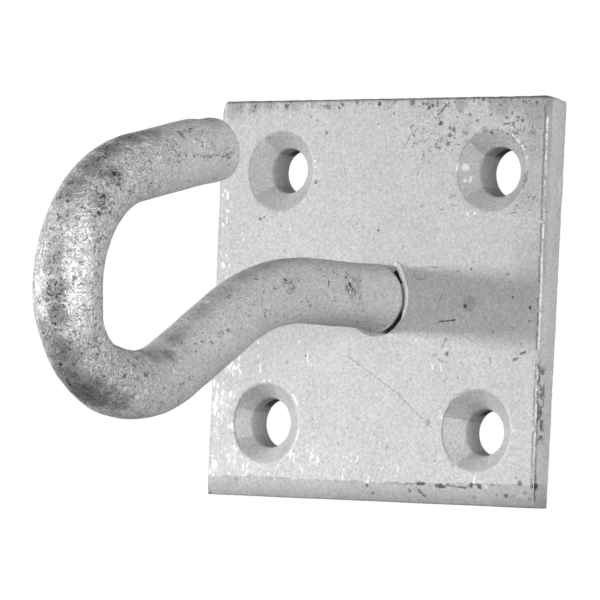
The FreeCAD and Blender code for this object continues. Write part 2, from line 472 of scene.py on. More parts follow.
black_pits = (
    *spots(0.37, (9.11, 21.73), (15.81, -22.51), (16.97, -22.6)),
    (0.36, (-0.31, 24.26)), (0.29, (7.25, 23.67)), (0.26, (7.75, 23.94)), (0.26, (0.06, -23.03)),
    (0.43, (11.17, -22.73)), (0.3, (13.85, -0.67)), (0.3, (23.46, -0.75)), (0.16, (7.66, -22.61), (8.82, -22.49)),
    (0.22, (10.59, -22.68), (11.68, -22.78)), (0.19, (24.79, -22.07), (25.71, -24.45)),
    (0.14, (10.2, -2.6), (11.6, -2.5), (12.3, -2.4)))
dark_pits = (
    *spots(0.31, (-6.07, 24.27), (-18.28, 9.98), (21.26, 21.99), (-24.66, -24.91)),
    *spots(0.29, (-3.75, 24.45), (-8.37, 20.78), (6.39, 24.23), (15.38, 24.57), (10.56, 21.16), (16.56, 20.55),
    (6.52, -23.43), (0.87, -23.89)),
    *spots(0.23, (0.29, 8.53), (8.59, 23.92), (18.95, 22.35)),
    *spots(0.34, (-9.74, 14.57), (10.6, 20.28), (10.32, 19.19), (11.39, -6.56), (20.79, -23.55)),
    *spots(0.26, (13.09, 20.45), (13.48, 22.7), (14.59, 22), (19.74, 22.89)),
    (0.36, (-14.86, 24.19)), (0.21, (1.96, 23.05)), (0.21, (-17.67, 10.19)), (0.43, (4.78, 24.39)),
    (0.43, (22.92, -22)), (0.37, (11.15, 20.95)), (0.19, (12.53, 3.6)), (0.19, (14.53, 3.85)), (0.2, (20.84, 0.44)),
    (0.22, (23.39, -2.38)), (0.18, (9.92, 23.97), (8.64, 22.76)), (0.15, (18.66, 21.55), (19.47, 21.6)),
    (0.18, (22.34, -6.37), (22.98, -6.16)), (0.18, (21.24, -7.17), (21.88, -6.92)),
    (0.18, (7.86, -23.31), (8.73, -24.1)), (0.12, (12, -22.63), (15.16, -22.8)),
    (0.12, (22.36, 15.84), (21.73, 13.68)), (0.11, (21.97, 15.57), (21.44, 14.63)),
    (0.09, (9.92, 0.02), (10.35, 0.64)))
faint_marks = (
    *spots(0.26, (1.16, 23.69), (2.88, -18.21), (-10.21, -7.13), (-13.13, -8.16)),
    *spots(0.29, (-9.87, 22.24), (9.3, 19.61), (18.05, -3.75), (22.31, -21.35), (16.04, -23.92)),
    *spots(0.21, (-10.85, 22.81), (-0.36, 21.77), (0.89, 18.79), (-14.88, 9.07), (-14.16, 5.86), (12.57, 20.87),
    (5.53, -10.08), (-1.71, -14.83)),
    *spots(0.23, (5.96, 15.66), (9.57, -6.73), (6.02, -9.72), (13.2, -9.44), (19.47, -23.46), (12.88, -20.16),
    (-4.65, -17.94)),
    *spots(0.31, (19.93, 3.29), (23.7, -23.18), (24.22, -23.83)),
    (0.5, (15.72, 20.9)), (0.37, (22.95, 20.55)), (0.37, (-20.49, -22.85)), (0.45, (8.96, -15.04)),
    (0.25, (16.9, -2.1)), (0.13, (3.7, 18.77), (4.55, 20.34), (5.69, 21.22)), (0.12, (19.67, 10.56), (20.8, 10.79)),
    (0.27, (11.14, -4.73), (10.65, -5.75)), (0.1, (3.38, -11.01), (8.1, -14.59)), (0.1, (-3.82, -7.02), (4.6, -11.8)),
    (0.12, (9.23, -6.8), (9.9, -6.65)), (0.12, (10.09, -7.26), (11.45, -7.71)), (0.12, (17.7, -6.79), (17.98, -7.59)),
    (0.12, (11.6, -14.23), (14.94, -14.62)), (0.16, (10.9, 12.5), (11.3, 12.9), (11.9, 12.8)),
    (0.14, (11.2, 11.7), (12, 11.6)), (0.14, (5.9, 3.4), (6.4, 2.6), (7.3, 2.5), (7.9, 3.1)),
    (0.14, (8.6, 4), (9.6, 4.1)))
# Bright specks, and painted highlights on the rims and left walls of the countersinks
bright_specks_and_highlights = (
    *spots(0.23, (-16.12, 14.62), (-21.02, 8.08), (14.67, 10.72), (7.43, -4.17), (6.71, -4.93), (21.64, -15.6),
    (-11.26, -5.34), (-16.61, -10.46), (-20.52, -10.25), (-21.68, -22.21), (-20.78, -20.57), (-18.67, -20.3),
    (-19.66, -19.98)),
    *spots(0.2, (-11.63, 13.93), (19.87, 20.18), (-15.74, -10.37), (-13.12, -22.08), (-7.3, -21.82)),
    *spots(0.26, (-24.02, 13.58), (-24.4, 13.02), (-13.46, 8.72), (-20.8, 7.31), (22.12, 17.52)),
    *spots(0.21, (-9.96, 17.22), (-17.66, -7.33), (-15.4, -22.01), (2.25, -20.83)),
    (0.19, (-9.84, 16.52)), (0.17, (13.66, 19.09)), (0.29, (10.94, -14.38)), (0.31, (-17.83, -5.65)),
    (0.62, (12.7, 16.35)), (0.3, (12.75, 14.75)), (0.18, (20.47, 19.63), (21.75, 18.47)),
    (0.16, (-20.71, -7.59), (-20.77, -8.72), (-20.32, -9.69)), (0.16, (-17.34, -8.37), (-17.23, -9.35)),
    (0.14, (-9.96, -6.92), (-9.91, -7.82)), (0.14, (-1.4, -19.44), (-1.62, -20.13)),
    (0.16, (-10.06, -21.15), (-10.03, -21.7)), (0.19, (0.22, -22.06), (0.04, -22.62)),
    (0.14, (4.69, -20.42), (4.69, -21.1)), (0.19, (-12.06, -11.96), (-11.21, -13.27)),
    (0.12, (-10.82, -16.45), (-11.24, -17.85)), (0.22, (16.25, -21.41), (16.13, -22.36)),
    (0.2, (17.78, -22.37), (18.04, -22.7)), (0.12, (9.2, -7.89), (9.4, -8.57)),
    (0.12, (10.37, -7.87), (10.75, -8.68)), (0.16, (13.53, -16.35), (14.39, -16.94)),
    (0.14, (13.81, -16.95), (14.49, -17.41)), (0.16, (-16.88, 17.13), (-16.73, 15.87)),
    (0.2, (-19.43, -21.02), (-19.39, -21.65)), (0.16, (13.3, 14.5), (13.4, 15.3)), (0.2, (12, 16.9), (11.8, 15.9)))


# The hook's foot stands this far off the plate's middle
collar_shift = Vector((0.29 * mm, 0, -0.21 * mm))


def plate_finish():
    """Pale matt zinc with a fine grain, bright specks to the left and dark pits where the shear and the drill went."""
    zinc = Finish("zinc_on_plate", 0.06, 0.6, 0.0)
    grain = zinc.noise(0.5 * mm, 3, 0.4)
    fine = zinc.noise(0.24 * mm, 2)
    cloud = zinc.noise(6 * mm, 2)
    on_front = zinc.y.rise(-3.8 * mm, -4.15 * mm)
    tone = 0.545 * (1 + 0.45 * (grain - 0.5) + 0.8 * (fine - 0.5) + 0.16 * (cloud - 0.5))
    tone = tone * (1 - zinc.x) * (1 - 4.0 * zinc.z)

    # Bright specks down the left side, drawn out upwards in the middle of it, and few elsewhere
    drawn_up = zinc.stretched((1, 1, 0.45))
    left_low = zinc.x.rise(-18.5 * mm, -22.5 * mm) * zinc.z.band(-22 * mm, -7 * mm, 2.5 * mm)
    left_high = zinc.x.rise(-22 * mm, -23.5 * mm) * zinc.z.band(3 * mm, 14 * mm, 2 * mm) * 0.8
    under = zinc.z.band(-22.2 * mm, -19.5 * mm, 1.5 * mm) * zinc.x.rise(4 * mm, -6 * mm) * 0.75
    speck_zone = left_low.greater_of(left_high).greater_of(under)
    clumps = zinc.noise(1.8 * mm, 2).rise(0.42, 0.6)
    specks = (zinc.noise(0.42 * mm, 1, 0.6, drawn_up) + 0.28 * speck_zone * clumps).rise(0.73, 0.85)
    specks = specks * zinc.y.rise(-4.9 * mm, -4.95 * mm)
    flat = zinc.vector("MULTIPLY", zinc.ragged(0.35 * mm, 0.5 * mm), (1, 0, 1))
    # The listed bright marks add to the specks; some of them are painted highlights on the countersinks' rims and walls
    bright = specks.greater_of(zinc.marks(flat, bright_specks_and_highlights) * on_front)
    tone = tone + 0.3 * bright + 0.05 * left_low * clumps

    # Dull stains at the top and in the upper right corner
    wide = zinc.ragged(1.6 * mm, 2.2 * mm)
    stains = zinc.patches(wide, (
        (12.2, -5, 24.2, 1.4, 1.0), (18.0, -5, 24.1, 2.6, 1.0), (23.5, -5, 23.4, 3.8, 1.0), (20.5, -5, 24.6, 2.6, 0.9),
        (-22.8, -5, 24.4, 2.2, 1.0), (-20.0, -5, 24.4, 1.8, 0.9), (23.6, -5, 19.0, 4.0, 0.7),
        (-17.8, -5, 24.6, 1.5, 0.9), (8.0, -5, 24.8, 1.8, 0.7), (-14.0, -5, 24.8, 2.0, 0.7), (-8.0, -5, 24.9, 1.6, 0.6),
        (1.0, -5, 24.9, 1.6, 0.6), (22.5, -5, 13.5, 4.5, 0.5), (24.5, -5, 5.0, 5.0, 0.4)))
    stains = stains.greater_of(0.75 * zinc.marks(flat, ((1.15, (14.44, -0.42)),), 0.75))
    tone = tone * (1 - 0.3 * stains * on_front)

    # The rolled band along the bottom is painted darker as shade, and its line is picked out in dark dashes to the
    # right
    line = zinc.z + 0.9 * (zinc.noise(2.2 * mm, 3) - 0.5) * mm - 0.45 * mm * (zinc.x * (1 / half)).greater_of(0.0)
    band = line.rise(-22.45 * mm, -22.65 * mm)
    tone = tone * (1 - band * (0.2 + 0.2 * zinc.z.rise(-22.8 * mm, -25 * mm)))
    dashes = line.band(-22.68 * mm, -22.5 * mm, 0.12 * mm) * zinc.noise(1.3 * mm, 2).rise(0.52, 0.6)
    dashes = dashes * (0.25 + 0.75 * zinc.x.rise(3 * mm, 9 * mm))

    # Dark pits, most of them towards the top right
    loose = zinc.patches(zinc.place, (
        (7, -5, 20.5, 5.5, 0.9), (12, -5, 20.5, 4, 0.8), (21, -5, 20, 5, 0.9), (23, -5, 12, 5, 0.7)))
    pit_zone = loose.greater_of(zinc.z.rise(23.0 * mm, 24.2 * mm) * 0.9)
    loose_pits = (zinc.noise(0.55 * mm, 2, 1.2) + 0.14 * pit_zone).rise(0.7, 0.78) * 0.75
    pits = loose_pits.greater_of(zinc.marks(flat, black_pits, 0.6)).greater_of(0.8 * zinc.marks(flat, dark_pits, 0.6))
    pits = pits.greater_of(0.42 * zinc.marks(flat, faint_marks, 0.6)).greater_of(dashes * 0.8) * on_front
    tone = tone * (1 - 0.74 * pits)

    # The right arris: a painted highlight in bright dashes, with a dark thread beside it
    along = zinc.noise(0.9 * mm, 2, place=zinc.stretched((0.2, 0.2, 1)))
    solid = zinc.z.band(-3.8 * mm, 6.5 * mm, 1 * mm).greater_of(zinc.z.band(-22 * mm, -13.7 * mm, 1 * mm))
    rubbed_and_highlight = (along + 0.2 * solid).rise(0.5, 0.56) * zinc.z.rise(22.6 * mm, 22.0 * mm)
    edge = zinc.x + 0.35 * mm * (zinc.noise(1.1 * mm, 2) - 0.5)
    rubbed_and_highlight = rubbed_and_highlight * edge.rise(24.76 * mm, 24.86 * mm) * zinc.y.rise(-4.68 * mm, -4.8 * mm)
    rubbed_and_highlight = rubbed_and_highlight * (0.45 + 0.55 * zinc.noise(0.6 * mm, 2).rise(0.4, 0.56))
    thread = edge.band(24.5 * mm, 24.62 * mm, 0.1 * mm) * (along + 0.14).rise(0.5, 0.6)
    thread = thread * zinc.y.rise(-4.8 * mm, -4.9 * mm)
    tone = tone * (1 - 0.45 * thread) + 0.48 * rubbed_and_highlight

    # The right side with painted light, more towards its top, and scaled; then the top and left arrises, dark with the
    # faces behind them
    on_side = zinc.x.rise(24.8 * mm, 24.95 * mm)
    tone = tone * (1 + on_side * (0.16 + 5.5 * zinc.z))
    scaled = zinc.y.rise(-2.9 * mm, -3.9 * mm) * zinc.z.band(-16.5 * mm, -8.5 * mm, 1 * mm)
    scaled = scaled.greater_of(zinc.y.rise(-4.0 * mm, -4.6 * mm) * zinc.z.band(-24 * mm, -8 * mm, 1 * mm))
    rough_side = scaled * zinc.noise(1.5 * mm, 3, 1.6).rise(0.46, 0.52)
    seam = zinc.y.band(-4.75 * mm, -4.5 * mm, 0.1 * mm) * zinc.z.band(-24 * mm, -8 * mm, 1 * mm)
    seam = seam * zinc.noise(0.8 * mm, 2).rise(0.42, 0.52)
    tone = tone * (1 - 0.72 * on_side * rough_side.greater_of(seam))
    top_line = zinc.z.rise(24.5 * mm, 24.8 * mm) * 0.55
    left_line = zinc.x.rise(-24.6 * mm, -24.85 * mm) * (0.28 + 0.3 * zinc.z.rise(12 * mm, 20 * mm))
    tone = tone * (1 - top_line.greater_of(left_line))

    # Countersinks, cut in facets, with painted light and shade: the left facet light, the next dark, the right and bore
    # dull
    lit_facet_angles = ((-35, 52), (-38, 40), (-22, 20), (-52, 20))
    level_place = zinc.vector("MULTIPLY", zinc.place, (1, 0, 1))
    for ((sink_x, sink_z), (bore_x, bore_z), bore_radius, bore_run), (low, high) in zip(holes, lit_facet_angles):
        reach = zinc.vector("DISTANCE", level_place, (sink_x * mm, 0, sink_z * mm), output="Value")
        inside = reach.rise(sink_radius + 0.02 * mm, sink_radius - 0.1 * mm)
        inside = inside * zinc.y.rise(-4.99 * mm, -4.93 * mm)
        turn = (zinc.z - sink_z * mm).math("ARCTAN2", -(zinc.x - sink_x * mm))
        light = turn.band(radians(low), radians(high), radians(6))
        dark = turn.band(radians(high + 3), radians(high + 75), radians(5))
        facing_left = zinc.x.rise((sink_x + 1) * mm, (sink_x + 3) * mm)
        tone = tone * (1 + inside * (0.22 * light - 0.06 * dark - 0.12 * facing_left - 0.12))
        rim = reach.band(sink_radius - 0.08 * mm, sink_radius + 0.04 * mm, 0.08 * mm) * zinc.x.rise(
            (sink_x - 2.5) * mm, (sink_x - 4) * mm)
        tone = tone * (1 - 0.25 * rim)
        bore = zinc.vector("DISTANCE", level_place, (bore_x * mm, 0, bore_z * mm), output="Value")
        in_bore = bore.rise((bore_radius + 0.25) * mm, (bore_radius + 0.05) * mm) * zinc.y.rise(
            -(bore_run + 0.15) * mm, -bore_run * mm)
        # The bore is painted darker as shade, most in a painted shadow crescent under its top
        shadow_crescent = zinc.y.rise(-1.9 * mm, -1.2 * mm) * zinc.z.rise((bore_z + 1.7) * mm, (bore_z + 2.4) * mm)
        tone = tone * (1 - in_bore * (0.25 + 0.55 * shadow_crescent))

    # Painted shade lies dark round the hook's foot, darkest in the crack at its lower right and in a pocket above the
    # flash
    from_foot = zinc.vector("DISTANCE", level_place, collar_shift, output="Value")
    bearing = (zinc.z - collar_shift.z).math("ARCTAN2", zinc.x - collar_shift.x)
    pocket = bearing.band(radians(32), radians(52), radians(4))
    below = bearing.band(radians(-62), radians(-24), radians(14))
    from_foot = from_foot + 0.14 * mm * (zinc.noise(1.0 * mm, 2) - 0.5) - 0.02 * mm * below - 0.45 * mm * pocket
    tone = tone * (1 - from_foot.rise(4.44 * mm, 4.38 * mm) * (0.4 + 0.54 * below.greater_of(pocket)))

    zinc.paint(tone)
    zinc.feed("Roughness", 0.58 + 0.3 * (grain - 0.5) + 0.2 * loose_pits)
    zinc.bump(0.5 * grain + 0.35 * fine - 0.6 * loose_pits, 0.08 * mm)
    return zinc


plate_finish().put_on(plate)
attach(plate, "root")
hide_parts("back_plate")

# Hook
# One length of 8 mm round bar, bent cold into its open hook and necked down where it is bent tightest. Its foot
# was pressed hot against the plate, which upset a collar. Its free end was nipped off by the shear and worn round.

bar_radius = 4.07 * mm
neck_radius = 3.75 * mm
bar_level = 0.3 * mm
foot_radius = 4.1 * mm
collar_radius = 4.34 * mm
collar_run = 3.6 * mm
collar_lip = 0.25 * mm
collar_stations = ((0.2, 0.93), (0.4, 0.6), (0.72, 0.12), (1.0, 0.0))
nip_radius = 3.9 * mm
nip_run = 5.5 * mm
nip_length = 4.7 * mm
nip_sag = 0.33 * mm
edge_round = 0.45 * mm
edge_steps = 4
tip_rings, foot_rings = 12, 5
ring_step = 0.36 * mm
bar_sides = 96
# The bar's runs and bends in order, from the plate to the tip
foot_run = 13.8 * mm
drop_radius, drop_angle = 28.9 * mm, -31.3
slope_run = 12.1 * mm
heel_radius, heel_angle = 15.4 * mm, 51.8
toe_radius, toe_angle = 9.5 * mm, 53.3
crown_radius, crown_angle = 14.3 * mm, 92.3
tip_run = 15.7 * mm
toe_half = toe_radius * radians(toe_angle) / 2
neck_blend = 5 * mm


class Bender:
    """Draws the bar out ring by ring, keeping the point and heading that it has reached."""

    def __init__(self, point, radius):
        self.point = Vector(point)
        self.heading = 0.0
        self.radius = radius

    def way(self):
        return Vector((0, -cos(self.heading), sin(self.heading)))

    def resize(self, radius):
        if abs(radius - self.radius) > 1e-9:
            factor = radius / self.radius
            bpy.ops.transform.resize(value=(factor, factor, factor), center_override=self.point)
            self.radius = radius

    def forward(self, run, radius=None, shift=(0, 0, 0)):
        push = self.way() * run + Vector(shift)
        bpy.ops.mesh.extrude_region_move(TRANSFORM_OT_translate={"value": push})
        self.point += push
        self.resize(radius or self.radius)

    def straight(self, run):
        steps = round(run / ring_step)
        for step in range(steps):
            self.forward(run / steps)

    def bend(self, bend_radius, angle, radius_at=None):
        """Turns the bar by angle in degrees, upwards if positive; radius_at gives the bar's radius by distance."""
        side = 1 if angle > 0 else -1
        normal = Vector((0, sin(self.heading), cos(self.heading))) * side
        centre = self.point + normal * bend_radius
        arc = bend_radius * abs(radians(angle))
        steps = round(arc / ring_step)
        turn = radians(angle) / steps
        for step in range(steps):
            bpy.ops.mesh.spin(steps=1, angle=-turn, center=centre, axis=(-1, 0, 0))
            self.point = centre + Matrix.Rotation(turn, 3, (-1, 0, 0)) @ (self.point - centre)
            self.heading += turn
            if radius_at:
                self.resize(radius_at(arc * (step + 1) / steps))

    def close(self, rings):
        """Closes the end with rings drawn in to its centre."""
        full = self.radius
        for ring in range(1, rings + 1):
            self.forward(0, full * (1 - ring / (rings + 1)))
        bpy.ops.mesh.merge(type="CENTER")


def necked(distance):
    """The bar's radius at this distance from the middle of its tightest bend."""
    back_to_full = min(max((abs(distance) - toe_half) / neck_blend + 0.5, 0), 1)
    return neck_radius + (bar_radius - neck_radius) * (1 - cos(pi * back_to_full)) / 2


foot_place = Vector((0, front, bar_level)) + collar_shift
bar = start_piece(
    bpy.ops.mesh.primitive_circle_add, "hook", vertices=bar_sides, radius=foot_radius, fill_type="NOTHING",
    location=foot_place, rotation=(pi / 2, 0, 0))
bpy.ops.object.mode_set(mode="EDIT")
bpy.ops.mesh.select_all(action="SELECT")
bender = Bender(foot_place, foot_radius)
bender.forward(collar_lip / 2, (foot_radius + collar_radius) / 2)
bender.forward(collar_lip / 2, collar_radius)
reached, share = collar_lip / collar_run, 1.0
for next_reached, next_share in collar_stations:
    steps = max(1, round((next_reached - reached) * collar_run / ring_step))
    for step in range(steps):
        change = (next_share - share) / steps
        now = share + change * (step + 1)
        bender.forward(
            (next_reached - reached) * collar_run / steps, bar_radius + (collar_radius - bar_radius) * now,
            collar_shift * change)
    reached, share = next_reached, next_share
bender.straight(foot_run - collar_run)
bender.bend(drop_radius, drop_angle)
bender.straight(slope_run)
heel_arc = heel_radius * radians(heel_angle)
bender.bend(heel_radius, heel_angle, lambda run: necked(heel_arc - run + toe_half))
bender.bend(toe_radius, toe_angle, lambda run: necked(run - toe_half))
bender.bend(crown_radius, crown_angle, lambda run: necked(run + toe_half))
bender.straight(tip_run - nip_run)
pressed_way = Vector((0, sin(bender.heading), cos(bender.heading)))
nip_steps = round(nip_length / ring_step)
pressed = 0.0
for step in range(1, nip_steps + 1):
    now = (1 - cos(pi * step / nip_steps)) / 2
    bender.forward(
        nip_length / nip_steps, bar_radius + (nip_radius - bar_radius) * now, pressed_way * nip_sag * (now - pressed))
    pressed = now
bender.forward(nip_run - nip_length - edge_round)
for step in range(edge_steps):
    low, high = (radians(90 * s / edge_steps) for s in (step, step + 1))
    bender.forward((sin(high) - sin(low)) * edge_round, nip_radius - (1 - cos(high)) * edge_round)
bender.close(tip_rings)
select_where(bar, "EDGE", lambda co: near(co.y, front))
bender = Bender(foot_place, foot_radius)
bender.close(foot_rings)
bpy.ops.mesh.select_all(action="SELECT")
bpy.ops.mesh.normals_make_consistent(inside=False)
bpy.ops.object.mode_set(mode="OBJECT")
bar.data.shade_smooth()

apply_modifier(bar, "DISPLACE", texture=clouds("bar_swell", 4 * mm), strength=0.12 * mm, mid_level=0.9)
apply_modifier(bar, "DISPLACE", texture=clouds("bar_grain", 0.9 * mm, 3), strength=0.06 * mm, mid_level=0.9)

bar_black_pits = (
    *spots(0.39, (3.3, -60.4, 11.5), (3.8, -63.3, 6.7), (3.9, -15.3, 1.3)),
    *spots(0.26, (-0.7, -65.1, 8.4), (2.4, -65, 7.3), (1.4, -67.7, -1.6), (1.1, -67.3, -5.3), (0.9, -67, -6.1),
    (1.9, -65.3, -8.9), (3.5, -27.5, 1.1), (3.6, -15.6, 2.2)),
    (0.33, (3.5, -62.4, 8.8)), (0.33, (0, -64.7, -10.7)), (0.2, (1.4, -67.4, 2)), (0.2, (1.6, -67.5, 1.2)),
    (0.16, (4.06, -32, -2.7), (4, -31.85, -3.8)),
    (0.11, (3.9, -46.5, 14.8), (4, -44.4, 14.6), (3.95, -42.6, 15), (3.9, -41, 14.9), (3.7, -39.2, 15.6)))
bar_dark_pits = (
    *spots(0.26, (0.6, -59, 14.5), (1.2, -57.5, 15.1), (0.6, -62.1, 12.2), (0.1, -63.9, 10.3), (-0.4, -64.1, 10),
    (0.4, -66.4, 6.2), (-0.4, -66.9, 4.8), (-0.4, -67.2, 4), (-0.1, -67.5, 3), (0.6, -67.9, -0.3), (0.5, -67.9, -2.2),
    (2.4, -57.3, 14.6), (3.3, -59.4, 12.3), (2.3, -61.6, 11.7), (2, -62.5, 11.1), (2.5, -62.1, 11.1),
    (3.8, -59.6, 10.9), (3.9, -59.9, 10.3), (3.4, -61.6, 10.1), (3.5, -62.7, 8.6), (3.6, -63.3, 7.5), (4, -57.7, 9.8),
    (4, -58.8, 8.9), (4, -59.3, 8), (4, -59.9, 7.6), (3.1, -63.8, 8.1), (3.8, -50.1, 14.9), (3.9, -49.2, 14.8),
    (4, -48.2, 14.5), (4, -46.7, 14.5), (1.1, -65.5, -9.2), (-0.4, -64.7, -10.6), (3.9, -63.3, -5.2),
    (3.8, -63.1, -6.1), (3.9, -53.9, -11.3), (3.7, -57.7, -12.7), (2.9, -54.5, -9.4), (3.6, -28, 0.8),
    (3.7, -14.1, 2), (4, -16.3, 0.6), (4, -15.9, 0.6), (4, -14.8, 0.8), (3.8, -12.8, 1.9)),
    *spots(0.2, (1.8, -59.5, 13.8), (1.3, -60.9, 13), (-0.9, -64.8, 8.9), (0.7, -67.1, 4.2), (-1.1, -67.3, 3),
    (0.9, -67.8, 0.8), (1.4, -67.6, 0.7), (1.8, -67.5, 0), (3, -57.2, 13.9), (3.4, -57, 13.6), (3.4, -55.3, 14.3),
    (3.4, -56.4, 13.9), (4.1, -54.5, 12.2), (2.6, -60.7, 12.2), (3.8, -60.4, 10.2), (3.8, -62.1, 8.3),
    (4, -61.9, 7.7), (4, -62.8, 6.4), (4, -61.3, 8), (4, -61.6, 7.2), (2.9, -64.2, 7.8), (3.8, -64.1, 5),
    (4, -63.5, 3.8), (4, -62.5, 4), (4, -64.1, 2.8), (4, -63.2, 0.9), (3.9, -49.7, 14.5), (4, -47.4, 14.9),
    (0.5, -67.9, -0.6), (0.6, -67.9, -1.2), (0.9, -67.9, -1.6), (1.9, -67.4, -2.7), (1.9, -67.4, -3.4),
    (1.8, -67.3, -4.1), (0.9, -67.8, -2.9), (1, -67.7, -3.2), (1.4, -67.6, -3.1), (1.2, -67.6, -3.8),
    (1.1, -67.5, -4.3), (0.8, -66.8, -6.8), (-0.5, -66.8, -7), (-0.7, -66.3, -7.9), (1.5, -66.6, -6.8),
    (2, -65.6, -8.2), (4, -64.1, -3.9), (3.9, -63.9, -4.8), (3.8, -62.5, -6.5), (2.7, -65.4, -7.4),
    (2.7, -65.1, -7.8), (2.6, -65.7, -6.9), (3.6, -63, -8.4), (3.5, -64, -7.1), (2.9, -56.5, -14.8),
    (2.5, -57.6, -14.7), (3.6, -62.5, -9.2), (3.6, -61.6, -9.9), (3.6, -60.6, -11), (3.3, -61.7, -10.8),
    (3.7, -58.5, -10), (3.6, -55.9, -10.2), (3.8, -59.3, -11), (3.9, -58.1, -11.2), (4, -55.7, -12.7),
    (3.6, -55.8, -13.8), (4.1, -53, -12.7), (4.1, -51.7, -12.5), (4, -50.5, -12.7), (4, -47.5, -12.1),
    (4, -47, -11.9), (4.1, -46, -11.2), (4, -45.2, -11.1), (3.6, -48.4, -9.9), (3.7, -49.1, -10.4),
    (2.8, -48.2, -8.9), (3.1, -46.6, -14.2), (3.9, -48.8, -13.2), (3.5, -46.5, -13.4), (1.1, -46.1, -6.8),
    (1.2, -28.3, 2.8), (1.6, -29.2, 2.4), (1.2, -33.8, 0.5), (2.5, -30.6, 1.2), (2.2, -31.6, 1.1), (1.9, -36.5, -1.4),
    (3.2, -25.4, 2.1), (3.7, -26.9, 0.9), (3.7, -25.9, 1.1), (3.7, -25.3, 1.2), (3.7, -29.1, 0.3), (3.6, -30, 0),
    (3.9, -26.4, 0.5), (4, -25.2, 0.3), (3.6, -33.1, -1.4), (3.7, -33.6, -1.8), (3.6, -34.5, -2.1),
    (3.7, -32.4, -1.1), (4, -35, -3.6), (3.9, -34.8, -3.1), (3.8, -35.4, -3.3), (4, -36.6, -5), (3.7, -37.9, -4.4),
    (4, -37.8, -5.8), (3.9, -38.6, -5.5), (3.8, -38.9, -5.3), (3.7, -40.3, -5.8), (3.7, -20.3, 2), (4, -13.8, 0.6),
    (4, -17.1, 0.7), (4, -18.2, -0.5), (3.9, -17.8, -0.9), (3.5, -19.5, -1.8), (3.5, -18.2, -1.7), (3.6, -17.1, -1.7),
    (3.9, -23.6, -1.2), (3.7, -22.7, -1.7), (2.8, -24.4, -3.3), (3.5, -26.1, -2.8), (3.4, -28.9, -4),
    (3.5, -27.6, -3.2), (3.2, -44, -7.2), (3.4, -43.1, -7), (3.8, -41.7, -7), (2.3, -45.5, -7.1), (4, -42.5, -9.5),
    (4.1, -42.9, -9.5), (4.1, -39.5, -7.4), (4.1, -39.9, -7.3), (4, -45.8, -11.6), (3.7, -36.4, -7.4)))
bar_faint_marks = (
    (0.53, (2.7, -47.8, 17.1)), (0.39, (2.6, -67, 0.6)), (0.26, (3.6, -65.8, -0.5)), (0.2, (3.8, -60, 6.1)),
    (0.2, (3.9, -65, 0.8)))


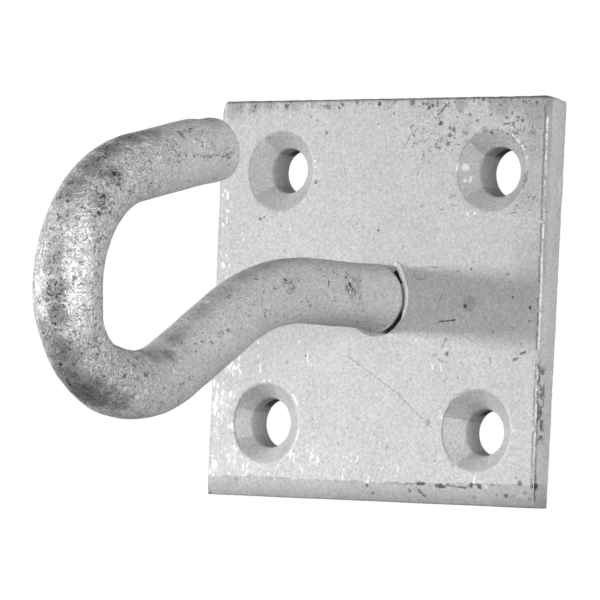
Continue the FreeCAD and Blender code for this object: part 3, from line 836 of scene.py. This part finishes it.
def bar_finish():
    """Mid-grey zinc with painted highlights down the far bend, and pitted dark where rings and chains have worn it."""
    zinc = Finish("zinc_on_bar", 0.06, 0.55, 0.0)
    grain = zinc.noise(0.5 * mm, 3, 0.4)
    fine = zinc.noise(0.24 * mm, 2)
    cloud = zinc.noise(4 * mm, 2)
    tone = 0.64 * (1 + 0.6 * (grain - 0.5) + 0.9 * (fine - 0.5) + 0.2 * (cloud - 0.5))
    low_bend = zinc.z.rise(-6 * mm, -10 * mm)
    tone = tone * (1.02 - 0.05 * zinc.y.rise(-40 * mm, -30 * mm) - 0.1 * low_bend)
    wide = zinc.ragged(1.5 * mm, 2.2 * mm)
    far = zinc.y.rise(-44 * mm, -58 * mm)
    # Painted shade along the lower and upper sides of the bar near its foot
    near_foot = zinc.y.rise(-26 * mm, -12 * mm)
    tone = tone * (1 - near_foot * (
        0.32 * zinc.z.rise(-0.8 * mm, -3.8 * mm) + 0.14 * zinc.z.rise(2.4 * mm, 4 * mm)))

    # Painted highlights on patches down the far bend, which are also more metallic and smoother; the far arm's left is
    # darker
    rubbed_and_highlight = zinc.patches(wide, (
        (2.9, -65.9, 7.0, 2.6, 0.6), (3.0, -65.9, 4.0, 2.6, 0.9), (3.1, -66.0, 0.5, 3.0, 1.0),
        (3.1, -65.9, -3.2, 3.0, 1.0), (3.0, -65.5, -6.5, 2.2, 0.7), (-0.9, -67.8, -1.6, 1.8, 0.4),
        (-1.1, -67.5, 2.0, 1.6, 0.1), (-0.7, -67.9, -4.6, 1.5, 0.4)))
    tone = tone * (1 + 0.36 * rubbed_and_highlight) * (1 - 0.14 * far * zinc.x.rise(0.5 * mm, -2.5 * mm))

    # Dark patches: wear, and painted shade along the crown's upper and lower outer edges
    worn_dark_and_shade = zinc.patches(wide, (
        (-0.8, -66.6, -7.5, 2.4, 0.7), (0.6, -65.5, -9.4, 3.0, 0.9), (0.2, -63.6, -12.2, 3.6, 1.0),
        (0.8, -61.2, -13.6, 3.8, 1.2), (1.8, -59.4, -14.2, 3.0, 1.1), (2.4, -57.2, -14.8, 2.4, 0.8),
        (1.3, -67.6, -2.6, 1.6, 0.6), (1.2, -67.4, -5.0, 1.8, 0.8), (0.6, -67.9, 0.6, 1.5, 0.5),
        (-0.4, -65.2, 8.8, 2.4, 0.7), (0.0, -64.0, 10.3, 2.6, 0.8), (0.5, -61.8, 12.6, 2.8, 0.9),
        (0.8, -59.0, 14.6, 2.8, 0.9), (1.0, -55.6, 16.2, 2.8, 0.8), (1.4, -52.0, 17.0, 2.4, 0.6),
        (3.3, -60.4, 11.4, 2.0, 0.8), (2.9, -62.6, 8.6, 1.6, 0.5), (2.6, -48.4, -8.9, 1.5, 0.8),
        (2.0, -50.5, -9.0, 1.8, 0.6), (1.6, -46.0, -6.8, 1.8, 0.5), (2.7, -47.8, 17.1, 1.0, 0.6),
        (0.6, -40.0, 18.6, 2.0, 0.4), (2.2, -49.0, -9.2, 1.8, 0.5)))
    # Painted shade down the upper side of the slope
    upper_side_shade = zinc.patches(zinc.place, (
        (-0.8, -24.5, 4.2, 3.6, 0.8), (-0.8, -28.5, 3.6, 3.6, 1.0), (-0.8, -32.5, 1.8, 3.6, 1.0),
        (-0.8, -36.5, -0.6, 3.6, 1.0), (-0.8, -40.5, -3.4, 3.6, 1.0), (-0.4, -44.5, -6.0, 3.2, 0.8)))
    tone = tone * (1 - 0.56 * worn_dark_and_shade) * (1 - 0.3 * upper_side_shade)

    # Worm-like scale over the far bend, with bright flecks painted as glints, and loose pits where things have rubbed
    scale = zinc.noise(0.85 * mm, 1, 0.9)
    worms = (scale - 0.5).math("ABSOLUTE").rise(0.06, 0.01)
    worm_zone = zinc.patches(wide, (
        (3.7, -62.5, 7.6, 2.8, 1.0), (3.4, -62.8, -8.4, 2.8, 1.0), (3.6, -59.0, -11.2, 3.0, 0.8),
        (1.2, -67.7, -1.5, 2.4, 0.9), (4.0, -14.5, 1.2, 2.6, 0.9), (3.8, -27.0, 0.8, 2.0, 0.7),
        (3.9, -50.0, 15.0, 2.6, 0.6), (3.8, -44.0, 15.6, 2.6, 0.4), (3.0, -45.5, 17.5, 2.4, 0.5),
        (3.9, -40.5, 15.0, 2.0, 0.5), (2.6, -61.9, 11.3, 2.2, 0.8)))
    scaly = (0.2 + 0.5 * far).greater_of(worm_zone)
    flecks_and_glints = scale.rise(0.56, 0.66) * scaly
    worms = worms * scaly
    pit_zone = worm_zone.greater_of(far * 0.5)
    pits = (zinc.noise(0.7 * mm, 2, 1.2) + 0.1 * pit_zone).rise(0.66, 0.74) * 0.75
    relief = 0.45 * pits + 0.35 * worms - 0.3 * flecks_and_glints
    spot_place = zinc.ragged(0.3 * mm, 1.0 * mm)
    pits = pits.greater_of(zinc.marks(spot_place, bar_black_pits, 0.7))
    pits = pits.greater_of(0.78 * zinc.marks(spot_place, bar_dark_pits, 0.7)).greater_of(
        0.45 * zinc.marks(spot_place, bar_faint_marks, 0.7)).greater_of(0.3 * worms)
    tone = tone * (1 + 0.22 * flecks_and_glints) * (1 - 0.8 * pits)

    # The collar: painted shade under its lip, and a painted highlight as a bright thread along its lower right edge
    bearing = (zinc.z - collar_shift.z).math("ARCTAN2", zinc.x - collar_shift.x)
    cracked = bearing.band(radians(-66), radians(-20), radians(14)).greater_of(
        bearing.band(radians(28), radians(50), radians(5)))
    under_lip_shade = zinc.y.rise(-5.24 * mm, -5.16 * mm) * (0.4 + 0.6 * cracked)
    lower_right = zinc.z.rise(-1.6 * mm, -2.6 * mm) * zinc.x.rise(-1.2 * mm, 0.4 * mm)
    thread = zinc.y.band(-5.75 * mm, -5.4 * mm, 0.12 * mm) * lower_right * zinc.noise(0.8 * mm, 2).rise(0.4, 0.5)
    tone = tone * (1 - 0.85 * under_lip_shade) + 0.2 * thread
    zinc.paint(tone)
    zinc.feed("Metallic", 0.06 + 0.44 * rubbed_and_highlight)
    zinc.feed("Roughness", 0.52 + 0.3 * (grain - 0.5) - 0.12 * rubbed_and_highlight + 0.2 * pits)
    zinc.bump(0.5 * grain + 0.4 * fine - relief, 0.3 * mm)
    return zinc


bar_finish().put_on(bar)
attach(bar, "root")
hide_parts("hook_bar")

# Flash
# A thin lip of metal, squeezed out to the right of the bar's foot when it was pressed hot against the plate. It is
# widest at its top, where the zinc has run into a few pips, and a crack parts its ends from the collar.

flash_centre = Vector((0.15 * mm, front, -0.05 * mm))
flash_height = 0.8
flash_step = 2
flash_sides = 24
# The lip's edges: angle above the horizontal, then inner and outer distance from its centre in millimetres
flash_edge = (
    (-38, 4.56, 4.68), (-28, 4.58, 4.95), (-14, 4.6, 5.02), (0, 4.62, 5.16), (14, 4.6, 5.2), (26, 4.62, 5.22),
    (36, 4.64, 5.36), (44, 4.72, 5.6), (52, 4.86, 5.84), (58, 5.1, 5.7))


def lip_section(angle):
    """The middle of the lip at this angle, and its half-width there."""
    for low, high in zip(flash_edge, flash_edge[1:]):
        if low[0] <= angle <= high[0]:
            share = (angle - low[0]) / (high[0] - low[0])
            inner, outer = ((low[side] + (high[side] - low[side]) * share) * mm for side in (1, 2))
    reach = (inner + outer) / 2
    return flash_centre + Vector((cos(radians(angle)) * reach, 0, sin(radians(angle)) * reach)), (outer - inner) / 2


first, last = flash_edge[0][0], flash_edge[-1][0]
middle, half_width = first_middle, first_half_width = lip_section(first)
flash = start_piece(
    bpy.ops.mesh.primitive_circle_add, "flash", vertices=flash_sides, radius=half_width, fill_type="NOTHING",
    location=middle, rotation=(0, -radians(first), 0))
bpy.ops.object.mode_set(mode="EDIT")
bpy.ops.mesh.select_all(action="SELECT")
for angle in range(first + flash_step, last + 1, flash_step):
    bpy.ops.mesh.spin(steps=1, angle=-radians(flash_step), center=flash_centre, axis=(0, -1, 0))
    turned = flash_centre + Matrix.Rotation(radians(flash_step), 3, (0, -1, 0)) @ (middle - flash_centre)
    middle, next_half_width = lip_section(angle)
    bpy.ops.transform.translate(value=middle - turned)
    bpy.ops.transform.resize(value=(next_half_width / half_width,) * 3, center_override=middle)
    half_width = next_half_width
bpy.ops.mesh.edge_face_add()
select_where(flash, "VERT", lambda co: near((co - first_middle).length, first_half_width, 0.02 * mm))
bpy.ops.mesh.edge_face_add()
bpy.ops.mesh.select_all(action="SELECT")
bpy.ops.mesh.normals_make_consistent(inside=False)
bpy.ops.transform.resize(value=(1, flash_height, 1), center_override=flash_centre)
bpy.ops.object.mode_set(mode="OBJECT")
apply_modifier(flash, "SUBSURF", levels=1, render_levels=1)
apply_modifier(flash, "DISPLACE", texture=clouds("lip_lumps", 1.0 * mm, 3), strength=0.3 * mm, mid_level=0.6)
flash.data.shade_smooth()


def flash_finish():
    """Bright zinc on the lip, with painted shade in the crack."""
    zinc = Finish("zinc_on_flash", 0.08, 0.5, 0.1)
    grain = zinc.noise(0.35 * mm, 3, 0.4)
    centre = (flash_centre.x, 0, flash_centre.z)
    from_foot = zinc.vector("DISTANCE", zinc.vector("MULTIPLY", zinc.place, (1, 0, 1)), centre, output="Value")
    tone = 0.72 * (1 + 0.7 * (grain - 0.5))
    # Painted shade in the crack between the lip and the collar
    gap = 0.1 * zinc.z.rise(-1.6 * mm, -2.2 * mm) + 0.3 * zinc.z.rise(2.4 * mm, 3.7 * mm)
    crack = (from_foot - gap * mm).rise(4.74 * mm, 4.64 * mm)
    tone = tone * (1 - 0.93 * crack)
    zinc.paint(tone)
    zinc.bump(grain, 0.05 * mm)
    return zinc


flash_finish().put_on(flash)
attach(flash, "root")
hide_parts("weld_flash")

# Studio
# A pale floor well below the part, soft lamps level with it on its left, on its right and beside the camera, and a
# white surround, which is much dimmer in the light that it throws on matt surfaces.

bpy.ops.object.select_all(action="DESELECT")
bpy.ops.mesh.primitive_circle_add(vertices=96, radius=0.6, fill_type="NGON", location=(0, -0.03, -0.075))
floor = bpy.context.active_object
floor.name = floor.data.name = "floor"
floor_paint = Finish("floor_paint", 0.0, 0.9)
floor_paint.shader.inputs["Base Color"].default_value = (0.8, 0.8, 0.8, 1)
floor_paint.put_on(floor)


def lamp(name, azimuth, elevation, distance, size, power):
    """A soft lamp aimed at the part. Azimuth 0 stands in front of the plate and 90 to its right."""
    way = Vector((
        sin(radians(azimuth)) * cos(radians(elevation)), -cos(radians(azimuth)) * cos(radians(elevation)),
        sin(radians(elevation))))
    bpy.ops.object.light_add(type="AREA", location=way * distance)
    made = bpy.context.active_object
    made.name = name
    made.rotation_euler = way.to_track_quat("Z", "Y").to_euler()
    made.data.shape = "RECTANGLE"
    made.data.size, made.data.size_y = size
    made.data.energy = power


lamp("key", -61, 3, 0.6, (0.14, 0.07), 3.5)
lamp("fill", 69, 2, 0.6, (0.2, 0.4), 1.6)
lamp("front", 37, 5, 0.9, (0.3, 0.3), 1.75)

thrown_level, seen_level = 0.22, 1.0
surround = bpy.data.worlds.new("surround")
bpy.context.scene.world = surround
surround.use_nodes = True
nodes, links = surround.node_tree.nodes, surround.node_tree.links
ray = nodes.new("ShaderNodeLightPath")
seen, glossy = nodes.new("ShaderNodeMath"), nodes.new("ShaderNodeMath")
seen.operation = glossy.operation = "MAXIMUM"
links.new(ray.outputs["Is Glossy Ray"], glossy.inputs[0])
links.new(ray.outputs["Is Transmission Ray"], glossy.inputs[1])
links.new(ray.outputs["Is Camera Ray"], seen.inputs[0])
links.new(glossy.outputs[0], seen.inputs[1])
level = nodes.new("ShaderNodeMapRange")
links.new(seen.outputs[0], level.inputs["Value"])
level.inputs["To Min"].default_value = thrown_level
level.inputs["To Max"].default_value = seen_level
nodes["Background"].inputs["Color"].default_value = (1, 1, 1, 1)
links.new(level.outputs["Result"], nodes["Background"].inputs["Strength"])

# Camera
# A long lens a little below the part, to its right. It was found from the four corners of the plate's front face:
# azimuth, elevation, roll, and the face's centre as the camera sees it, in millimetres.

azimuth, elevation, roll = radians(37.216), radians(-2.098), radians(2.318)
centre_across, centre_up, centre_away = 9.116 * mm, 0.077 * mm, 597.18 * mm
focal_pixels = 4827.24
photo_side = 600
sensor = 36
back = Vector((sin(azimuth) * cos(elevation), -cos(azimuth) * cos(elevation), sin(elevation)))
level_right = Vector((cos(azimuth), sin(azimuth), 0))
level_up = back.cross(level_right)
right = level_right * cos(roll) + level_up * sin(roll)
up = level_up * cos(roll) - level_right * sin(roll)
eye = Vector((0, front, 0)) + back * centre_away - right * centre_across - up * centre_up
bpy.ops.object.camera_add()
camera = bpy.context.active_object
camera.name = "camera"
camera.matrix_world = Matrix.Translation(eye) @ Matrix((right, up, back)).transposed().to_4x4()
camera.data.sensor_width = sensor
camera.data.lens = sensor * focal_pixels / photo_side
camera.data.clip_start = 0.01
bpy.context.scene.camera = camera
bpy.context.scene.view_settings.view_transform = "Standard"
